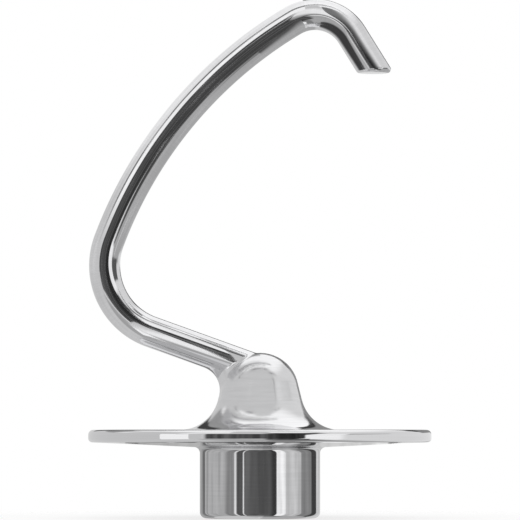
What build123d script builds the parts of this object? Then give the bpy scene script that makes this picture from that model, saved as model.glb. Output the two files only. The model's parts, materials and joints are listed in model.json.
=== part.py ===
from build123d import *
from math import cos, radians, sin, tan
import os

# Stand mixer dough hook: one stainless casting, polished all over.
# It stands on the open end of its hub. The shaft axis is Z, the hook lies in the XZ plane
# and its tip points to +X. Sizes are millimetres and angles are degrees.

# Hub and the drip disc above it
hub_diameter = 35.0
hub_height = 20.6
hub_mouth_chamfer = 1.2
hub_neck_chamfer = 1.2
disc_diameter = 100.0
disc_thickness = 5.1
disc_underside_draft = 2.6
rim_top_round = 1.5
rim_bottom_chamfer = 0.8

# Boss between the disc and the hook
dome_radius = 11.3
dome_top_height = 48.1
wall_draft = 14.0
flare_fillet = 11.4

# Hook: a round bar bent to a C, cut level across its end
bar_diameter = 9.1
root_depth = 5.3
root_slope = 19.8
lower_length = 33.7
knee_radius = 20.6
knee_turn = 90.7
upper_radius = 127.2
upper_turn = 38.5
top_radius = 12.65
top_turn = 89.2
tip_end_height = 129.9
tip_chamfer = 0.6
root_fillet = 5.0

# Socket for the mixer's shaft: a blind bore, a key slot for its drive pin,
# and a pocket above a ledge where the pin locks after a turn
shaft_diameter = 12.7
shaft_clearance = 0.15
bore_depth = 27.0
bore_mouth_chamfer = 0.8
bore_point_angle = 118.0
pin_diameter = 4.8
pin_clearance = 0.6
pin_reach = 11.4
ledge_height = 10.0
pin_seat_drop = 0.8
lock_turn = 65.0
key_angle = 90.0

# Sizes that follow
disc_top = hub_height + disc_thickness
hub_radius = hub_diameter / 2
disc_radius = disc_diameter / 2
bore_radius = shaft_diameter / 2 + shaft_clearance
slot_width = pin_diameter + 2 * pin_clearance
slot_reach = pin_reach + pin_clearance
slot_top = ledge_height + slot_width
bore_point_height = bore_radius / tan(radians(bore_point_angle / 2))
root_height = dome_top_height - root_depth


def turned_profile():
    """Half section of hub, disc and boss, on the XZ plane with the shaft axis as its left side."""
    draft = radians(wall_draft)
    dome_centre = dome_top_height - dome_radius
    shoulder = (dome_radius * cos(draft), dome_centre + dome_radius * sin(draft))
    wall_foot = (shoulder[0] + (shoulder[1] - disc_top) * tan(draft), disc_top)
    rim_bottom = hub_height + (disc_radius - hub_radius) * tan(radians(disc_underside_draft))
    corners = (
        ((hub_radius, 0), chamfer, hub_mouth_chamfer),
        ((hub_radius, hub_height), chamfer, hub_neck_chamfer),
        ((disc_radius, rim_bottom), chamfer, rim_bottom_chamfer),
        ((disc_radius, disc_top), fillet, rim_top_round),
        (wall_foot, fillet, flare_fillet),
    )
    with BuildSketch(Plane.XZ) as section:
        with BuildLine():
            outline = Polyline((0, 0), *[corner for corner, ease, size in corners], shoulder)
            crown = CenterArc((0, dome_centre), dome_radius, wall_draft, 90 - wall_draft)
            Line(crown @ 1, outline @ 0)
        make_face()
        for corner, ease, size in corners:
            ease(section.vertices().sort_by_distance(corner)[0], size)
    return section.sketch


def hook_path():
    """Centreline of the bar: straight root, knee, long upper arm, top bend and straight tip."""
    with BuildLine(Plane.XZ) as path:
        root = PolarLine((0, root_height), lower_length, 180 - root_slope)
        knee = JernArc(root @ 1, root % 1, knee_radius, -knee_turn)
        upper = JernArc(knee @ 1, knee % 1, upper_radius, -upper_turn)
        top = JernArc(upper @ 1, upper % 1, top_radius, -top_turn)
        fall = (top @ 1).Z - tip_end_height + bar_diameter
        PolarLine(top @ 1, fall / -(top % 1).Z, direction=top % 1)
    return path.wire()


def hook_bar():
    """The bent bar, run past its end and cut level there, with the cut edge broken."""
    path = hook_path()
    start = Plane(path @ 0, x_dir=(0, 1, 0), z_dir=path % 0)
    bar = sweep(start * Circle(bar_diameter / 2), path=path)
    end = path @ 1
    cutter = 4 * bar_diameter
    bar -= Pos(end.X, 0, tip_end_height - cutter / 2) * Box(cutter, cutter, cutter)
    end_face = bar.faces().filter_by(Axis.Z).sort_by_distance(end)[0]
    return chamfer(end_face.edges(), tip_chamfer)


def pin_slot(angle, bottom, top):
    """Radial slot that the drive pin passes through, rounded off at its reach."""
    slot = Pos(slot_reach / 2, 0, (bottom + top) / 2) * Box(slot_reach, slot_width, top - bottom)
    reach = Pos(0, 0, (bottom + top) / 2) * Cylinder(slot_reach, top - bottom)
    return Rot(0, 0, angle) * (slot & reach)


def shaft_socket():
    """What is hollow in the hub: bore, key slot, and the locking pocket with the pin's seat."""
    with BuildSketch(Plane.XZ) as section:
        with BuildLine():
            Polyline(
                (0, 0),
                (bore_radius + bore_mouth_chamfer, 0),
                (bore_radius, bore_mouth_chamfer),
                (bore_radius, bore_depth),
                (0, bore_depth + bore_point_height),
                (0, 0),
            )
        make_face()
    bore = revolve(section.sketch, Axis.Z)
    key = pin_slot(key_angle, 0, slot_top)
    seat = pin_slot(key_angle + lock_turn, ledge_height - pin_seat_drop, slot_top)
    pocket_section = Plane.XZ * Pos(slot_reach / 2, (ledge_height + slot_top) / 2)
    pocket = revolve(pocket_section * Rectangle(slot_reach, slot_top - ledge_height), Axis.Z, lock_turn)
    return bore + key + seat + Rot(0, 0, key_angle) * pocket


def dough_hook():
    """The whole casting: turned body and hook, blended at the root, with the socket cut in."""
    body = revolve(turned_profile(), Axis.Z)
    bar = hook_bar()
    joined = body + bar
    seam = (joined.edges() - body.edges() - bar.edges()).filter_by(GeomType.BSPLINE)
    return fillet(seam, root_fillet) - shaft_socket()


os.makedirs("parts", exist_ok=True)
export_step(dough_hook(), "parts/dough_hook.step")
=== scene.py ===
import json
from math import asin, atan2, ceil, cos, degrees, hypot, pi, radians, sin, tan

import bmesh
import bpy
import numpy as np
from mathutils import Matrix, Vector
from mathutils.kdtree import KDTree


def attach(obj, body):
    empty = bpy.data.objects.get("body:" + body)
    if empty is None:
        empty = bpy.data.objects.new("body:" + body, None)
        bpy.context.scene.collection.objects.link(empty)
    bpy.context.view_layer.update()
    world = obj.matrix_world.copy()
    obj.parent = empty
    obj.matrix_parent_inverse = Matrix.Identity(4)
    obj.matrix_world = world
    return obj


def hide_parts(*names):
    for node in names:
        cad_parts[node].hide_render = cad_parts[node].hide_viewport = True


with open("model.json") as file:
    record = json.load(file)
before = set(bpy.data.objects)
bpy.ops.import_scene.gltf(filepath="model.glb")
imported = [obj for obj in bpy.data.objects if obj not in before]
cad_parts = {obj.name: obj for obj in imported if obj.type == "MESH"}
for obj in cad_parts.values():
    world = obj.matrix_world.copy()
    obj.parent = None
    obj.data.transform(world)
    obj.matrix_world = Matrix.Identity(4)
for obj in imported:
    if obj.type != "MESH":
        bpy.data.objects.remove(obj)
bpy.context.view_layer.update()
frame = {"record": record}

# Sizes of the casting, in millimetres and degrees. They are those of the part's solid, apart from
# hub mouth, hub neck, rim bottom and tip, which are rounds here and chamfers in the solid, and from
# the broken edges of the bore, which are sharp in the solid.
MM = 0.001
hub_diameter = 35.0
hub_height = 20.6
hub_mouth_round = 1.8
hub_neck_fillet = 1.8
disc_diameter = 100.0
disc_thickness = 5.1
disc_underside_draft = 2.6
rim_top_round = 1.5
rim_bottom_round = 1.2
dome_radius = 11.3
dome_top_height = 48.1
wall_draft = 14.0
flare_fillet = 11.4
bar_diameter = 9.1
root_depth = 5.3
root_slope = 19.8
lower_length = 33.7
knee_radius = 20.6
knee_turn = 90.7
upper_radius = 127.2
upper_turn = 38.5
top_radius = 12.65
top_turn = 89.2
tip_end_height = 129.9
tip_round = 1.1
bore_diameter = 13.0
bore_depth = 27.0
bore_mouth_chamfer = 0.8
bore_point_angle = 118.0
slot_width = 6.0
slot_reach = 12.0
slot_top = 16.0
ledge_height = 10.0
pin_seat_drop = 0.8
lock_turn = 65.0
key_angle = 90.0
broken_edge = 0.15

# Blend where the bar leaves the boss: wide below the bar, tight at its sides
blend_below = 7.0
blend_side = 1.6
blend_above = 3.0

# Fineness of the mesh: points round it, steps along it, and the search for the blend's place
turned_columns = 256
bar_columns = 160
largest_step = 0.8
largest_turn = radians(5)
knee_steps = 44
upper_steps = 60
top_steps = 44
straight_steps = 12
blend_steps = 14
tip_steps = 8
slot_points = 17
pocket_points = 25
cove_points = 25
search_step = 1.0
search_halvings = 40

# Limits below which points are one (metres), the angle from which an edge is sharp, and the least divisor
merge_distance = 1e-7
sliver_length = 1e-8
same_place = 1e-6
sharp_angle = radians(30)
tiny = 1e-12

# Camera: a long lens at disc height, looking slightly up along +Y (metres)
camera_place = Vector((0.0, -1.2, 0.024))
camera_aim = Vector((0.0, 0.0, 0.0752))
camera_lens_mm = 284.95
camera_sensor_mm = 36.0

# Floor: a pale disc that fades out into the white surroundings (metres)
floor_radius = 0.60
floor_sides = 96
floor_fade_start = 0.070
floor_fade_end = 0.140
floor_colour = (0.93, 0.93, 0.93, 1.0)
floor_glow = 0.75

# World: its brightness where no panel stands, the height from which the light overhead is drawn (as a
# sine), and the clutter of the dark room as noise over each degree, its steps and range of brightness
white = (1.0, 1.0, 1.0, 1.0)
open_brightness = 0.97
lowest_overhead = 0.05
clutter_scale = 0.16
clutter_detail = 2.0
clutter_steps = 0.35, 0.7
clutter_dark = 0.6
clutter_light = 1.5

# Studio cards: a low ring of them round the hub (metres), its brightness where no column stands, and the
# smoke over its columns as noise over each degree and metre, its steps and range of brightness
cards_radius = 0.042
cards_top = 0.0203
cards_foot = -0.030
cards_sides = 192
cards_brightness = 0.5
smoke_per_degree = 0.10
smoke_per_metre = 20.0
smoke_detail = 3.0
smoke_steps = 0.3, 0.7
smoke_dark = 0.82
smoke_light = 1.18

# A curved one about the upper arm: its radius from the bar's middle (millimetres), the headings of the
# bar between which it runs, the sides of the bar between which it reaches, counted from the front, and
# half the softness of its edges (degrees)
cove_radius = 22.0
cove_headings = 95, 10
cove_sides = 22, 160
cove_softness = 1.5

# Corners of the flat ones, from low left round to high left (millimetres)
screen_corners = ((-9, -20, 33), (13, -20, 33), (13, -20, 73), (-2, -20, 73))
arm_paper_corners = ((-62, -60, 30), (-13, -60, 30), (-13, -60, 57), (-27, -60, 73))
top_paper_corners = ((5, -60, 157), (21, -60, 135), (27, -60, 205), (-8, -60, 205))
top_wall_corners = ((21, -60, 135), (110, -60, 140), (110, -60, 232), (28, -60, 232))
rim_wall_corners = ((62, -120, -14), (62, 45, -14), (62, 45, 31), (62, -120, 31))
rim_light_corners = ((-55, -51, 12), (-45, -68, 12), (-45, -68, 34), (-55, -51, 34))
throat_card_corners = ((14, -20, 119), (14, 7, 119), (14, 7, 141), (14, -20, 141))

# Steel: its roughness and what satin, streaks and smears add to it, the depth of its lines and waves
# (metres), and how far its streaks shade the colour
steel_slot = frame["record"]["materials"][0]
steel_roughness = 0.04
satin_roughness = 0.14
streak_roughness = 0.20
smear_roughness = 0.02
line_depth = 1.5e-7
wave_depth = 1.5e-5
streak_dark = 0.90
streak_light = 1.07

# Noise on the steel: its scale over a metre, its finer layers, the steps between which it acts, and the
# shares of the lines in the shade
wave_scale = 60.0
wave_detail = 1.0
smear_scale = 140.0
smear_detail = 4.0
smear_steps = 0.45, 0.75
line_detail = 4.0
streak_steps = 0.48, 0.72
shade_steps = 0.3, 0.7
even_shade = 0.5
body_line_share = 0.25
bar_line_share = 0.3

# Where the satin of the boss lies: heights, their softness, and the radii where it starts and is full
# (metres), and the length over which the bar's finish takes over (millimetres along the bar)
satin_heights = 0.0275, 0.060
satin_softness = 0.003
satin_radii = 0.034, 0.022
bar_takes_over = 2.0

bar_radius = bar_diameter / 2
bore_radius = bore_diameter / 2


def rounded_outline(corners):
    """Points and normals along corners of (across, up, round), with the normals right of the way."""
    places = np.array([corner[:2] for corner in corners])
    ways = np.diff(places, axis=0)
    ways /= np.linalg.norm(ways, axis=1)[:, None]
    rights = np.column_stack((ways[:, 1], -ways[:, 0]))
    points = [places[0]]
    normals = [rights[0]]
    for index in range(1, len(corners) - 1):
        before, after = ways[index - 1], ways[index]
        turn = atan2(before[0] * after[1] - before[1] * after[0], before @ after)
        radius = corners[index][2]
        start = places[index] - before * radius * tan(abs(turn) / 2)
        centre = start - rights[index - 1] * radius * np.sign(turn)
        steps = ceil(max(abs(turn) / largest_turn, radius * abs(turn) / largest_step))
        for share in np.linspace(0, turn, steps + 1):
            spin = np.array(((cos(share), -sin(share)), (sin(share), cos(share))))
            points.append(centre + spin @ (start - centre))
            normals.append(spin @ rights[index - 1])
    points.append(places[-1])
    normals.append(rights[-1])
    return np.array(points), np.array(normals)


def turned_outline():
    """Half section from the bore's point, round the hub and disc, to the top of the dome."""
    disc_top = hub_height + disc_thickness
    hub_radius = hub_diameter / 2
    disc_radius = disc_diameter / 2
    draft = radians(wall_draft)
    shoulder = dome_radius * cos(draft), dome_top_height - dome_radius + dome_radius * sin(draft)
    wall_foot = shoulder[0] + (shoulder[1] - disc_top) * tan(draft)
    wall_head = shoulder[0] - (dome_top_height - shoulder[1]) * tan(draft)
    rim_bottom = hub_height + (disc_radius - hub_radius) * tan(radians(disc_underside_draft))
    bore_point = bore_depth + bore_radius / tan(radians(bore_point_angle / 2))
    return rounded_outline((
        (0, bore_point),
        (bore_radius, bore_depth, broken_edge),
        (bore_radius, bore_mouth_chamfer, broken_edge),
        (bore_radius + bore_mouth_chamfer, 0, broken_edge),
        (hub_radius, 0, hub_mouth_round),
        (hub_radius, hub_height, hub_neck_fillet),
        (disc_radius, rim_bottom, rim_bottom_round),
        (disc_radius, disc_top, rim_top_round),
        (wall_foot, disc_top, flare_fillet),
        (wall_head, dome_top_height, dome_radius),
        (0, dome_top_height),
    ))


outline_points, outline_normals = turned_outline()


def turned_rows():
    """The turned body as rows of points and normals round the shaft axis."""
    angles = np.linspace(0, 2 * pi, turned_columns, endpoint=False)
    ring = np.column_stack((np.cos(angles), np.sin(angles)))
    rows = []
    for (radius, height), (out, up) in zip(outline_points, outline_normals):
        points = np.column_stack((ring * radius, np.full(turned_columns, height)))
        normals = np.column_stack((ring * out, np.full(turned_columns, up)))
        rows.append((points, normals))
    return rows


def nearest_on_body(point):
    """Height over the turned body, and the nearest point on it with its normal."""
    flat = np.array((hypot(point[0], point[1]), point[2]))
    starts, spans = outline_points[:-1], np.diff(outline_points, axis=0)
    lengths = np.maximum((spans ** 2).sum(1), tiny)
    shares = np.clip(((flat - starts) * spans).sum(1) / lengths, 0, 1)
    feet = starts + spans * shares[:, None]
    best = int(np.argmin(((feet - flat) ** 2).sum(1)))
    normal = outline_normals[best] * (1 - shares[best]) + outline_normals[best + 1] * shares[best]
    normal /= np.linalg.norm(normal)
    over = float((flat - feet[best]) @ normal)
    turn = np.array((point[0], point[1])) / max(flat[0], tiny)
    foot = np.array((*(turn * feet[best][0]), feet[best][1]))
    return over, foot, np.array((*(turn * normal[0]), normal[1]))


def inner_side(heading):
    """Direction from the bar's middle to the inside of its bends."""
    return np.array((sin(heading), 0, -cos(heading)))


def forward(heading):
    """Direction of the bar, which lies in the XZ plane."""
    return np.array((cos(heading), 0, sin(heading)))


def bar_ring(heading):
    """Unit directions round the bar, from its inner side over the front."""
    angles = np.linspace(0, 2 * pi, bar_columns, endpoint=False)
    return np.outer(np.cos(angles), inner_side(heading)) + np.outer(np.sin(angles), (0, -1, 0))


def arc_rows(centres, starts, ends, radii, steps):
    """Rows of points and directions on arcs about the centres, from one direction to the other."""
    angles = np.arccos(np.clip((starts * ends).sum(1), -1, 1))[:, None]
    rows = []
    for share in np.linspace(0, 1, steps + 1):
        ways = (starts * np.sin((1 - share) * angles) + ends * np.sin(share * angles)) / np.sin(angles)
        rows.append((centres + ways * radii, ways))
    return rows


def rolled_place(lane, way, radius):
    """Distance along the lane at which a ball there just touches the turned body."""
    far = lower_length
    near = far
    while nearest_on_body(lane + way * near)[0] > radius:
        far, near = near, near - search_step
    for _ in range(search_halvings):
        middle = (near + far) / 2
        if nearest_on_body(lane + way * middle)[0] > radius:
            far = middle
        else:
            near = middle
    return far


def root_blend(start, heading):
    """Rows from the boss on to the bar, and how far along the bar they end."""
    way = forward(heading)
    ring = bar_ring(heading)
    lean = np.cos(np.linspace(0, 2 * pi, bar_columns, endpoint=False))
    radii = blend_side + (blend_above - blend_side) * np.clip(lean, 0, 1) ** 2
    radii += (blend_below - blend_side) * np.clip(-lean, 0, 1) ** 3
    lanes = start + ring * (bar_radius + radii)[:, None]
    lengths = np.array([rolled_place(lane, way, radius) for lane, radius in zip(lanes, radii)])
    centres = lanes + np.outer(lengths, way)
    touches = [nearest_on_body(centre) for centre in centres]
    feet = np.array([foot for _, foot, _ in touches])
    foot_normals = np.array([normal for _, _, normal in touches])
    rows = arc_rows(centres, -foot_normals, -ring, radii[:, None], blend_steps)
    grid = np.array([points for points, _ in rows])
    inward = np.array([ways for _, ways in rows])
    around = np.roll(grid, -1, axis=1) - np.roll(grid, 1, axis=1)
    normals = np.cross(around, np.gradient(grid, axis=0))
    normals /= np.linalg.norm(normals, axis=2)[:, :, None]
    normals *= -np.sign((normals * inward).sum(2))[:, :, None]
    normals[0] = foot_normals
    normals[-1] = ring
    sunk = feet - foot_normals * blend_side
    return [(sunk, foot_normals), *zip(grid, normals)], lengths


def bends(place, heading):
    """Places and headings along the knee, the upper arm and the top bend."""
    runs = (
        (knee_radius, knee_turn, knee_steps),
        (upper_radius, upper_turn, upper_steps),
        (top_radius, top_turn, top_steps),
    )
    line = []
    for radius, turn, steps in runs:
        centre = place + inner_side(heading) * radius
        for share in np.linspace(0, radians(turn), steps + 1)[1:]:
            place = centre - inner_side(heading - share) * radius
            line.append((place, heading - share))
        heading -= radians(turn)
    return line


root_heading = radians(180 - root_slope)
root_place = np.array((0, 0, dome_top_height - root_depth))
bent_line = bends(root_place + forward(root_heading) * lower_length, root_heading)


def bar_rows():
    """The bent bar as rows of points and normals, from inside the boss to the level end."""
    rows, starts = root_blend(root_place, root_heading)
    ring = bar_ring(root_heading)
    for share in np.linspace(0, 1, straight_steps + 1)[1:]:
        runs = starts + (lower_length - starts) * share
        rows.append((root_place + np.outer(runs, forward(root_heading)) + ring * bar_radius, ring))
    for place, heading in bent_line:
        ring = bar_ring(heading)
        rows.append((place + ring * bar_radius, ring))
    way = forward(heading)
    core = ring * (bar_radius - tip_round)
    runs = (place[2] + core[:, 2] - tip_end_height - tip_round) / -way[2]
    for share in np.linspace(0, 1, straight_steps + 1)[1:-1]:
        rows.append((place + np.outer(runs * share, way) + ring * bar_radius, ring))
    down = np.tile((0.0, 0.0, -1.0), (bar_columns, 1))
    return rows + arc_rows(place + np.outer(runs, way) + core, ring, down, tip_round, tip_steps)


def grid_object(name, rows):
    """A closed mesh of quads over rows of points, with its first and last row capped."""
    columns = len(rows[0])
    faces = []
    for row in range(len(rows) - 1):
        for column in range(columns):
            a, b = row * columns + column, row * columns + (column + 1) % columns
            faces.append((a, b, b + columns, a + columns))
    last = (len(rows) - 1) * columns
    faces.append(tuple(range(columns)))
    faces.append(tuple(range(last, last + columns)))
    mesh = bpy.data.meshes.new(name)
    mesh.from_pydata((np.concatenate(rows) * MM).tolist(), [], faces)
    work = bmesh.new()
    work.from_mesh(mesh)
    bmesh.ops.remove_doubles(work, verts=work.verts, dist=merge_distance)
    bmesh.ops.dissolve_degenerate(work, edges=work.edges, dist=sliver_length)
    bmesh.ops.recalc_face_normals(work, faces=work.faces)
    work.to_mesh(mesh)
    work.free()
    made = bpy.data.objects.new(name, mesh)
    bpy.context.scene.collection.objects.link(made)
    return made


def prism(name, outline, low, high):
    """A closed upright solid over an outline of (x, y) points."""
    rows = [np.array([(x, y, height) for x, y in outline]) for height in (low, high)]
    return grid_object(name, rows)


def at_reach(angle):
    """The point at the slot's reach in a direction from the shaft axis."""
    return slot_reach * cos(angle), slot_reach * sin(angle)


def slot_outline(turn):
    """A radial slot from the axis to its rounded reach."""
    angle = radians(turn)
    half = asin(slot_width / 2 / slot_reach)
    across = slot_width / 2 * sin(angle), slot_width / 2 * cos(angle)
    arc = [at_reach(place) for place in np.linspace(angle - half, angle + half, slot_points)]
    return [(across[0], -across[1]), *arc, (-across[0], across[1])]


def pocket_outline():
    """The sector between the key slot and the pin's seat."""
    arc = np.linspace(radians(key_angle), radians(key_angle + lock_turn), pocket_points)
    return [(0, 0), *[at_reach(place) for place in arc]]


def combine(piece, tool, operation):
    """Joins the tool to the piece or cuts it away, and deletes the tool."""
    modifier = piece.modifiers.new("combine", "BOOLEAN")
    modifier.operation = operation
    modifier.solver = "EXACT"
    modifier.object = tool
    graph = bpy.context.evaluated_depsgraph_get()
    combined = bpy.data.meshes.new_from_object(piece.evaluated_get(graph))
    piece.modifiers.remove(modifier)
    piece.data = combined
    bpy.data.objects.remove(tool)


def bar_distances(rows):
    """Distance along the bar of each row of the bar, from its first ring."""
    middles = np.array([points.mean(axis=0) for points, _ in rows])
    steps = np.linalg.norm(np.diff(middles, axis=0), axis=1)
    return np.concatenate(([0.0], np.cumsum(steps)))


def set_true_normals(piece, body, bar):
    """Gives each corner the true normal, except at sharp edges, and each point its place on the bar."""
    rows = body + bar
    points = np.concatenate([row[0] for row in rows])
    normals = np.concatenate([row[1] for row in rows])
    off_bar = np.full(len(body) * turned_columns, -1.0)
    ring = bar_radius * np.cos(np.linspace(0, 2 * pi, bar_columns, endpoint=False))
    along = np.concatenate((off_bar, np.repeat(bar_distances(bar), bar_columns)))
    across = np.concatenate((off_bar, np.tile(ring, len(bar))))
    tree = KDTree(len(points))
    for index, point in enumerate(points):
        tree.insert(Vector(point) * MM, index)
    tree.balance()
    true = []
    along_bar = piece.data.attributes.new("along", "FLOAT", "POINT")
    across_bar = piece.data.attributes.new("across", "FLOAT", "POINT")
    for vertex in piece.data.vertices:
        _, index, distance = tree.find(vertex.co)
        known = distance < same_place
        along_bar.data[vertex.index].value = along[index] if known else -1.0
        across_bar.data[vertex.index].value = across[index] if known else -1.0
        true.append(Vector(normals[index] if known else nearest_on_body(np.array(vertex.co) / MM)[2]))
    corners = []
    for face in piece.data.polygons:
        face.use_smooth = True
        for vertex in face.vertices:
            smooth = true[vertex].dot(face.normal) > cos(sharp_angle)
            corners.append(true[vertex] if smooth else face.normal.copy())
    piece.data.normals_split_custom_set(corners)


def make_casting():
    """The whole casting: turned body and bar blended into one skin, with the socket cut in."""
    body, bar = turned_rows(), bar_rows()
    casting = grid_object("hook_casting", [points for points, _ in body])
    combine(casting, grid_object("bar", [points for points, _ in bar]), "UNION")
    below_end = -1.0
    cuts = (
        (slot_outline(key_angle), below_end, slot_top),
        (slot_outline(key_angle + lock_turn), ledge_height - pin_seat_drop, slot_top),
        (pocket_outline(), ledge_height, slot_top),
    )
    for outline, low, high in cuts:
        combine(casting, prism("cut", outline, low, high), "DIFFERENCE")
    set_true_normals(casting, body, bar[1:])
    return casting


class Nodes:
    """Short calls that add and wire the nodes of one shader tree."""

    def __init__(self, owner):
        owner.use_nodes = True
        self.tree = owner.node_tree
        self.tree.nodes.clear()

    def add(self, kind, *inputs, **settings):
        """A node with its settings, and its inputs in their order. An input of None stays as it is."""
        made = self.tree.nodes.new(kind)
        for name, value in settings.items():
            setattr(made, name, value)
        for socket, value in zip(made.inputs, inputs):
            self.put(socket, value)
        return made

    def put(self, socket, value):
        """Wires another node's output to the socket, or sets a plain value on it."""
        if isinstance(value, bpy.types.NodeSocket):
            self.tree.links.new(value, socket)
        elif value is not None:
            socket.default_value = value

    def math(self, operation, *inputs):
        return self.add("ShaderNodeMath", *inputs, operation=operation).outputs[0]

    def step(self, value, low, high):
        """0 below low, 1 above high and a smooth climb between."""
        made = self.add("ShaderNodeMapRange", value, low, high, interpolation_type="SMOOTHSTEP")
        return made.outputs[0]

    def within(self, value, low, high, soft):
        """1 between low and high, with edges that fade over soft."""
        rise = self.step(value, low - soft / 2, low + soft / 2)
        fall = self.step(value, high - soft / 2, high + soft / 2)
        return self.math("SUBTRACT", rise, fall)

    def blend(self, base, other, share):
        """base where share is 0, other where it is 1."""
        change = self.math("SUBTRACT", other, base)
        return self.math("MULTIPLY_ADD", change, share, base)


def make_world():
    """White to the camera. In reflections, a studio of soft panels, walls and dark flags."""
    world = bpy.data.worlds.new("studio")
    bpy.context.scene.world = world
    n = Nodes(world)
    place = n.add("ShaderNodeTexCoord").outputs["Generated"]
    x, y, z = n.add("ShaderNodeSeparateXYZ", place).outputs
    side = n.math("DEGREES", n.math("ARCTAN2", x, n.math("MULTIPLY", y, -1.0)))
    height = n.math("DEGREES", n.math("ARCSINE", z))

    # What stands about in the dark part of the room
    noise = n.add("ShaderNodeTexNoise", None, side, clutter_scale, clutter_detail, noise_dimensions="1D")
    clutter = n.blend(clutter_dark, clutter_light, n.step(noise.outputs[0], *clutter_steps))

    # Side from and to, height from and to, softness of each, lean, brightness. Angles are degrees, and
    # side 0 faces the camera. A panel leans to the right by a share of its height.
    walls = {
        "room on the left": (-181, -38, -91, 28, 4, 6, 0.0, 0.70),
        "room below on the right": (40, 181, -91, -6, 8, 10, 0.0, 0.50),
        "front floor": (-42, 44, -91, -12, 6, 6, 0.0, 0.48),
        "front floor on the right": (10, 62, -75, -38, 8, 6, 0.0, 0.26),
        "front paper": (-14, 6, -14, -3, 3, 3, 0.0, 1.08),
        "grey screen": (-112, 46, 22, 66, 4, 5, 0.0, 0.70),
        "white screen": (8, 45, 40, 64, 4, 4, 0.0, 1.15),
        "right wall": (45, 140, -8, 44, 3, 8, 0.0, 0.84),
        "edge of the white screen": (45, 50, 40, 64, 2, 6, 0.0, 0.50),
        "right grey card": (57, 114, -20, 0.5, 5, 3, 0.0, 0.48),
        "right dark card": (57, 100, -4, 17, 5, 3, 0.0, 0.12),
        "rear grey on the right": (145, 181, 3, 26, 4, 4, 0.0, 0.28),
        "rear dark on the right": (147, 181, 22, 31, 3, 3, 0.0, 0.05),
        "dark room": (-37, 10, -9, 21, 4, 4, 0.0, n.math("MULTIPLY", clutter, 0.095)),
        "dark room above on the right": (5, 46, -11, 39, 12, 4, 0.0, n.math("MULTIPLY", clutter, 0.035)),
        "dark room below on the right": (4, 47, -38, -6, 5, 4, 0.0, n.math("MULTIPLY", clutter, 0.085)),
        "right strip light": (30, 55, -11, 22, 2, 5, 0.5, 1.12),
    }
    rear_cards = {
        "rear grey on the left": (-181, -128, 25, 46, 4, 3, 0.0, 0.36),
        "rear dark on the left": (-181, -162, 13, 27, 4, 3, 0.0, 0.06),
    }

    # Half width and its softness, front and rear edge and their softness, brightness.
    # Places overhead are tangents of the angle from straight up.
    overhead = {
        "soft light": (0.75, 0.5, -0.28, 1.6, 0.06, 1.22),
        "dark bar along its front": (0.42, 0.3, -0.37, -0.26, 0.05, 0.08),
    }

    def with_panels(light, panels):
        """The light with panels drawn over it, each over those before."""
        for left, right, low, high, soft_side, soft_height, lean, brightness in panels.values():
            across = n.within(n.math("MULTIPLY_ADD", height, -lean, side), left, right, soft_side)
            up = n.within(height, low, high, soft_height)
            light = n.blend(light, brightness, n.math("MULTIPLY", across, up))
        return light

    light = with_panels(open_brightness, walls)
    over = n.math("MAXIMUM", z, lowest_overhead)
    left_right = n.math("DIVIDE", x, over)
    back = n.math("DIVIDE", y, over)
    for half, soft_side, front, rear, soft_depth, brightness in overhead.values():
        across = n.within(left_right, -half, half, soft_side)
        deep = n.within(back, front, rear, soft_depth)
        light = n.blend(light, brightness, n.math("MULTIPLY", across, deep))
    light = with_panels(light, rear_cards)

    rays = n.add("ShaderNodeLightPath").outputs
    seen = n.blend(1.0, light, rays["Is Glossy Ray"])
    background = n.add("ShaderNodeBackground", white, seen)
    n.put(n.add("ShaderNodeOutputWorld").inputs["Surface"], background.outputs[0])


def make_floor():
    """A pale floor that keeps the object's shadow and isn't seen in reflections."""
    bpy.ops.mesh.primitive_circle_add(vertices=floor_sides, radius=floor_radius, fill_type="NGON")
    floor = bpy.context.object
    floor.name = "floor"
    floor.visible_glossy = False
    material = bpy.data.materials.new("pale_floor")
    n = Nodes(material)
    place = n.add("ShaderNodeTexCoord").outputs["Object"]
    distance = n.add("ShaderNodeVectorMath", place, operation="LENGTH").outputs["Value"]
    fade = n.step(distance, floor_fade_start, floor_fade_end)
    paper = n.add("ShaderNodeBsdfDiffuse", floor_colour).outputs[0]
    glow = n.add("ShaderNodeEmission", white, 1.0).outputs[0]
    lit = n.add("ShaderNodeMixShader", floor_glow, paper, glow).outputs[0]
    clear = n.add("ShaderNodeBsdfTransparent").outputs[0]
    surface = n.add("ShaderNodeMixShader", fade, lit, clear).outputs[0]
    n.put(n.add("ShaderNodeOutputMaterial").inputs["Surface"], surface)
    floor.data.materials.append(material)


def on_ring(direction, share):
    """Where a ray that a round thing throws in a direction lands on a ring of cards about it.

    Both are degrees from the front, and share is the thing's radius over the ring's."""
    angle = radians(direction)
    return degrees(angle - asin(share * sin(angle / 2)))


def on_cards(direction):
    """Where on the low cards the hub's ray lands."""
    return on_ring(direction, hub_diameter / 2 * MM / cards_radius)


def on_cove(direction):
    """Where on the curved card the upper arm's ray lands."""
    return on_ring(direction, bar_radius / cove_radius)


def light_card(card, strength):
    """Gives a card of the studio the glow that strength returns, and shows it only in reflections."""
    for kind in ("camera", "diffuse", "shadow", "transmission", "volume_scatter"):
        setattr(card, f"visible_{kind}", False)
    material = bpy.data.materials.new(card.name)
    n = Nodes(material)
    glow = n.add("ShaderNodeEmission", white, strength(n)).outputs[0]
    n.put(n.add("ShaderNodeOutputMaterial").inputs["Surface"], glow)
    card.data.materials.append(material)


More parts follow.
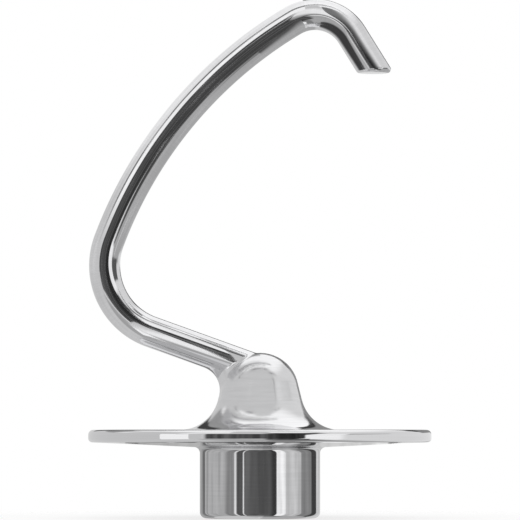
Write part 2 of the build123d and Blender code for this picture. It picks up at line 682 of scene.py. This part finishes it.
def sheet_card(name, rows, strength):
    """A card over rows of points in millimetres, from its foot up, lit by its own across and up."""
    columns = len(rows[0])
    points = [Vector(point) * MM for row in rows for point in row]
    firsts = [a for a in range(len(points) - columns) if (a + 1) % columns]
    faces = [(a, a + 1, a + 1 + columns, a + columns) for a in firsts]
    mesh = bpy.data.meshes.new(name)
    mesh.from_pydata(points, [], faces)
    layer = mesh.uv_layers.new(name="card")
    for corner in mesh.loops:
        row, column = divmod(corner.vertex_index, columns)
        layer.data[corner.index].uv = column / (columns - 1), row / (len(rows) - 1)
    card = bpy.data.objects.new(name, mesh)
    bpy.context.scene.collection.objects.link(card)

    def card_strength(n):
        place = n.add("ShaderNodeUVMap", uv_map="card").outputs[0]
        across, up, _ = n.add("ShaderNodeSeparateXYZ", place).outputs
        return strength(n, across, up)

    light_card(card, card_strength)


def flat_card(name, corners, strength):
    """A flat card on four corners, from low left round to high left."""
    low_left, low_right, high_right, high_left = corners
    sheet_card(name, ((low_left, low_right), (high_left, high_right)), strength)


def cove_rows():
    """A curved card round the outer side of the upper arm, from the knee to the top bend."""
    sides = np.radians(np.linspace(*cove_sides, cove_points))
    first, last = np.radians(cove_headings)
    rows = []
    for place, heading in bent_line:
        if last < heading < first:
            around = np.outer(-np.sin(sides), inner_side(heading)) + np.outer(np.cos(sides), (0, -1, 0))
            rows.append(place + around * cove_radius)
    return rows


def column_strength(n):
    """Bright and dark columns round the hub, as on a wall of studio cards."""
    place = n.add("ShaderNodeTexCoord").outputs["Object"]
    x, y, z = n.add("ShaderNodeSeparateXYZ", place).outputs
    side = n.math("DEGREES", n.math("ARCTAN2", x, n.math("MULTIPLY", y, -1.0)))

    # Side from and to (degrees from the front), softness and brightness of each column
    columns = {
        "left wall": (-122, -66, 2, 0.50),
        "left wall end": (-68, -51, 8, 0.27),
        "left strip light": (-50, -46.8, 1, 0.95),
        "dark front": (-45, 32, 1.5, 0.11),
        "dark front edge": (22, 32, 8, 0.05),
        "dark front dim": (-29, -18, 6, 0.15),
        "gap": (-33, -30.5, 1, 0.80),
        "right strip light": (32, 50.5, 1.5, 1.10),
        "right wall near": (50.5, 86, 2, 0.68),
        "right wall far": (86, 116, 6, 0.27),
        "right flag": (116, 138, 5, 0.07),
        "right rear": (138, 181, 2, 0.70),
        "left rear": (-181, -144, 2, 0.42),
        "left flag": (-144, -122, 3, 0.20),
        "left flag gap": (-131, -124, 1.5, 0.60),
    }
    light = cards_brightness
    for left, right, soft, brightness in columns.values():
        light = n.blend(light, brightness, n.within(side, on_cards(left), on_cards(right), soft))
    smoke_across = n.math("MULTIPLY", side, smoke_per_degree)
    smoke_up = n.math("MULTIPLY", z, smoke_per_metre)
    smoke_place = n.add("ShaderNodeCombineXYZ", smoke_across, smoke_up, 0.0).outputs[0]
    smoke = n.add("ShaderNodeTexNoise", smoke_place, None, 1.0, smoke_detail).outputs[0]
    return n.math("MULTIPLY", light, n.blend(smoke_dark, smoke_light, n.step(smoke, *smoke_steps)))


# The glow of the other cards. Across and up are shares of a card's width and height, and edges of the
# curved card are given as directions that the upper arm throws a ray in, in degrees from the front.


def cove_strength(n, across, up):
    """A strip light in a dark frame beside a pale wall, which come out of the grey of the knee."""
    side = n.math("MULTIPLY_ADD", across, cove_sides[1] - cove_sides[0], cove_sides[0])
    strip_edge = 38
    frame_edge = 63
    wall_edge = 75
    dark = 0.08
    grey = 0.72
    strip = 1.17
    frame_grey = 0.22

    def beyond(direction):
        """0 before the place that a direction lands on, 1 past it."""
        return n.step(side, on_cove(direction) - cove_softness, on_cove(direction) + cove_softness)

    low_wall = n.blend(grey, 1.0, n.step(up, 0.2, 0.5))
    wall = n.blend(low_wall, 1.18, n.step(up, 0.7, 1.0))
    light = n.blend(dark, 1.05, n.step(up, 0.85, 0.97))
    for edge, brightness in ((strip_edge, strip), (frame_edge, frame_grey), (wall_edge, wall)):
        light = n.blend(light, brightness, beyond(edge))
    knee = n.blend(dark, grey, beyond(strip_edge))
    return n.blend(knee, light, n.step(up, 0.10, 0.30))


def screen_strength(n, across, up):
    """A grey screen with a dark head."""
    grey = 0.70
    dark = 0.30
    return n.blend(grey, dark, n.step(up, 0.93, 0.97))


def arm_paper_strength(n, across, up):
    """White paper that falls off to its left and its foot."""
    dim = 0.66
    full = 1.09
    lit = n.math("MULTIPLY", n.step(across, -0.1, 0.5), n.step(up, -0.1, 0.35))
    return n.blend(dim, full, lit)


def top_paper_strength(n, across, up):
    """White paper that dims towards its head and its foot."""
    full = 1.10
    head = 0.80
    foot_share = 0.35
    paper = n.blend(full, head, n.step(up, 0.45, 1.0))
    return n.math("MULTIPLY", paper, n.blend(foot_share, 1.0, n.step(up, 0.0, 0.16)))


def top_wall_strength(n, across, up):
    """A wall that is dark at its foot and on its left."""
    left = 0.24
    right = 0.94
    foot_share = 0.10
    wall = n.blend(left, right, n.step(across, 0.12, 0.62))
    return n.math("MULTIPLY", wall, n.blend(foot_share, 1.0, n.step(up, 0.0, 0.40)))


def rim_wall_strength(n, across, up):
    """A grey wall with a white front end."""
    front = 1.12
    grey = 0.85
    return n.blend(front, grey, n.step(across, 0.27, 0.34))


def rim_light_strength(n, across, up):
    """The same white all over."""
    return 1.18


def throat_card_strength(n, across, up):
    """Black in a grey frame on the side of the tip, dark to grey on the side of the upper arm."""
    frame_grey = 0.45
    black = 0.06
    arm_dark = 0.10
    arm_grey = 0.48
    back = n.add("ShaderNodeNewGeometry").outputs["Backfacing"]
    middle = n.math("MULTIPLY", n.within(across, 0.12, 0.86, 0.24), n.within(up, 0.06, 1.1, 0.12))
    tip_side = n.blend(frame_grey, black, middle)
    arm_side = n.blend(arm_dark, arm_grey, n.step(across, 0.20, 0.65))
    return n.blend(tip_side, arm_side, back)


def make_cards():
    """Studio cards that only reflections show: a low ring, a curved one and flat ones."""
    bpy.ops.mesh.primitive_cylinder_add(
        vertices=cards_sides, radius=cards_radius, depth=cards_top - cards_foot, end_fill_type="NOTHING",
        location=(0.0, 0.0, (cards_top + cards_foot) / 2),
    )
    low_cards = bpy.context.object
    low_cards.name = "low_cards"
    light_card(low_cards, column_strength)
    sheet_card("arm_cove", cove_rows(), cove_strength)
    flat_card("boss_screen", screen_corners, screen_strength)
    flat_card("arm_paper", arm_paper_corners, arm_paper_strength)
    flat_card("top_paper", top_paper_corners, top_paper_strength)
    flat_card("top_wall", top_wall_corners, top_wall_strength)
    flat_card("rim_wall", rim_wall_corners, rim_wall_strength)
    flat_card("rim_light", rim_light_corners, rim_light_strength)
    flat_card("throat_card", throat_card_corners, throat_card_strength)


def steel():
    """Polished steel: mirror bright, satin on the boss, with fine polishing lines and faint smears."""
    material = bpy.data.materials.new("polished_steel_finish")
    n = Nodes(material)
    place = n.add("ShaderNodeTexCoord").outputs["Object"]
    x, y, z = n.add("ShaderNodeSeparateXYZ", place).outputs
    radius = n.math("SQRT", n.math("MULTIPLY_ADD", x, x, n.math("MULTIPLY", y, y)))
    turn = n.math("ARCTAN2", y, x)
    along = n.add("ShaderNodeAttribute", attribute_name="along").outputs["Fac"]
    across = n.add("ShaderNodeAttribute", attribute_name="across").outputs["Fac"]
    on_bar = n.step(along, 0.0, bar_takes_over)

    def grain(*stretched):
        """Noise on a place whose three coordinates are each stretched by a factor."""
        parts = [n.math("MULTIPLY", part, factor) for part, factor in stretched]
        cells = n.add("ShaderNodeCombineXYZ", *parts).outputs[0]
        return n.add("ShaderNodeTexNoise", cells, None, 1.0, line_detail).outputs[0]

    # Streaks drawn along the bar, fine lines across it, and faint turning lines round the body.
    # Along and across are millimetres on the bar, turn is radians and the rest is metres.
    streaks = grain((along, 0.05), (y, 900.0), (across, 0.9))
    bar_lines = grain((along, 3.0), (y, 250.0), (across, 0.25))
    body_lines = grain((radius, 1400.0), (z, 1400.0), (turn, 1.2))
    lines = n.blend(body_lines, bar_lines, on_bar)
    body_shade = n.blend(even_shade, body_lines, body_line_share)
    shade = n.blend(body_shade, n.blend(streaks, bar_lines, bar_line_share), on_bar)
    waves = n.add("ShaderNodeTexNoise", place, None, wave_scale, wave_detail).outputs[0]
    smears = n.add("ShaderNodeTexNoise", place, None, smear_scale, smear_detail).outputs[0]

    # The boss keeps a satin finish between its mirror bright neighbours
    boss = n.math("MULTIPLY", n.within(z, *satin_heights, satin_softness), n.step(radius, *satin_radii))
    boss = n.math("MULTIPLY", boss, n.math("SUBTRACT", 1.0, on_bar))
    drawn = n.math("MULTIPLY", n.step(streaks, *streak_steps), on_bar)
    roughness = n.math("MULTIPLY_ADD", boss, satin_roughness, steel_roughness)
    roughness = n.math("MULTIPLY_ADD", drawn, streak_roughness, roughness)
    roughness = n.math("MULTIPLY_ADD", n.step(smears, *smear_steps), smear_roughness, roughness)

    normal = None
    for depth, relief in ((line_depth, lines), (wave_depth, waves)):
        bump = n.add("ShaderNodeBump")
        bump.inputs["Strength"].default_value = 1.0
        bump.inputs["Distance"].default_value = depth
        n.put(bump.inputs["Height"], relief)
        n.put(bump.inputs["Normal"], normal)
        normal = bump.outputs[0]

    colour = n.add("ShaderNodeValToRGB", n.step(shade, *shade_steps))
    for stop, level in zip(colour.color_ramp.elements, (streak_dark, streak_light)):
        stop.color = (*[level * part for part in steel_slot["base_color"]], 1.0)

    shader = n.add("ShaderNodeBsdfPrincipled")
    n.put(shader.inputs["Base Color"], colour.outputs["Color"])
    shader.inputs["Metallic"].default_value = 1.0
    n.put(shader.inputs["Roughness"], roughness)
    n.put(shader.inputs["Normal"], normal)
    n.put(n.add("ShaderNodeOutputMaterial").inputs["Surface"], shader.outputs[0])
    return material


def make_camera():
    """The camera at the photograph's viewing angle."""
    data = bpy.data.cameras.new("camera")
    data.lens = camera_lens_mm
    data.sensor_width = camera_sensor_mm
    camera = bpy.data.objects.new("camera", data)
    bpy.context.scene.collection.objects.link(camera)
    camera.location = camera_place
    camera.rotation_euler = (camera_aim - camera_place).to_track_quat("-Z", "Y").to_euler()
    bpy.context.scene.camera = camera


make_world()
make_floor()
make_cards()
make_camera()
casting = make_casting()
casting.data.materials.clear()
casting.data.materials.append(steel())
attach(casting, "root")
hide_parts("dough_hook")
bpy.context.scene.view_settings.view_transform = "Standard"
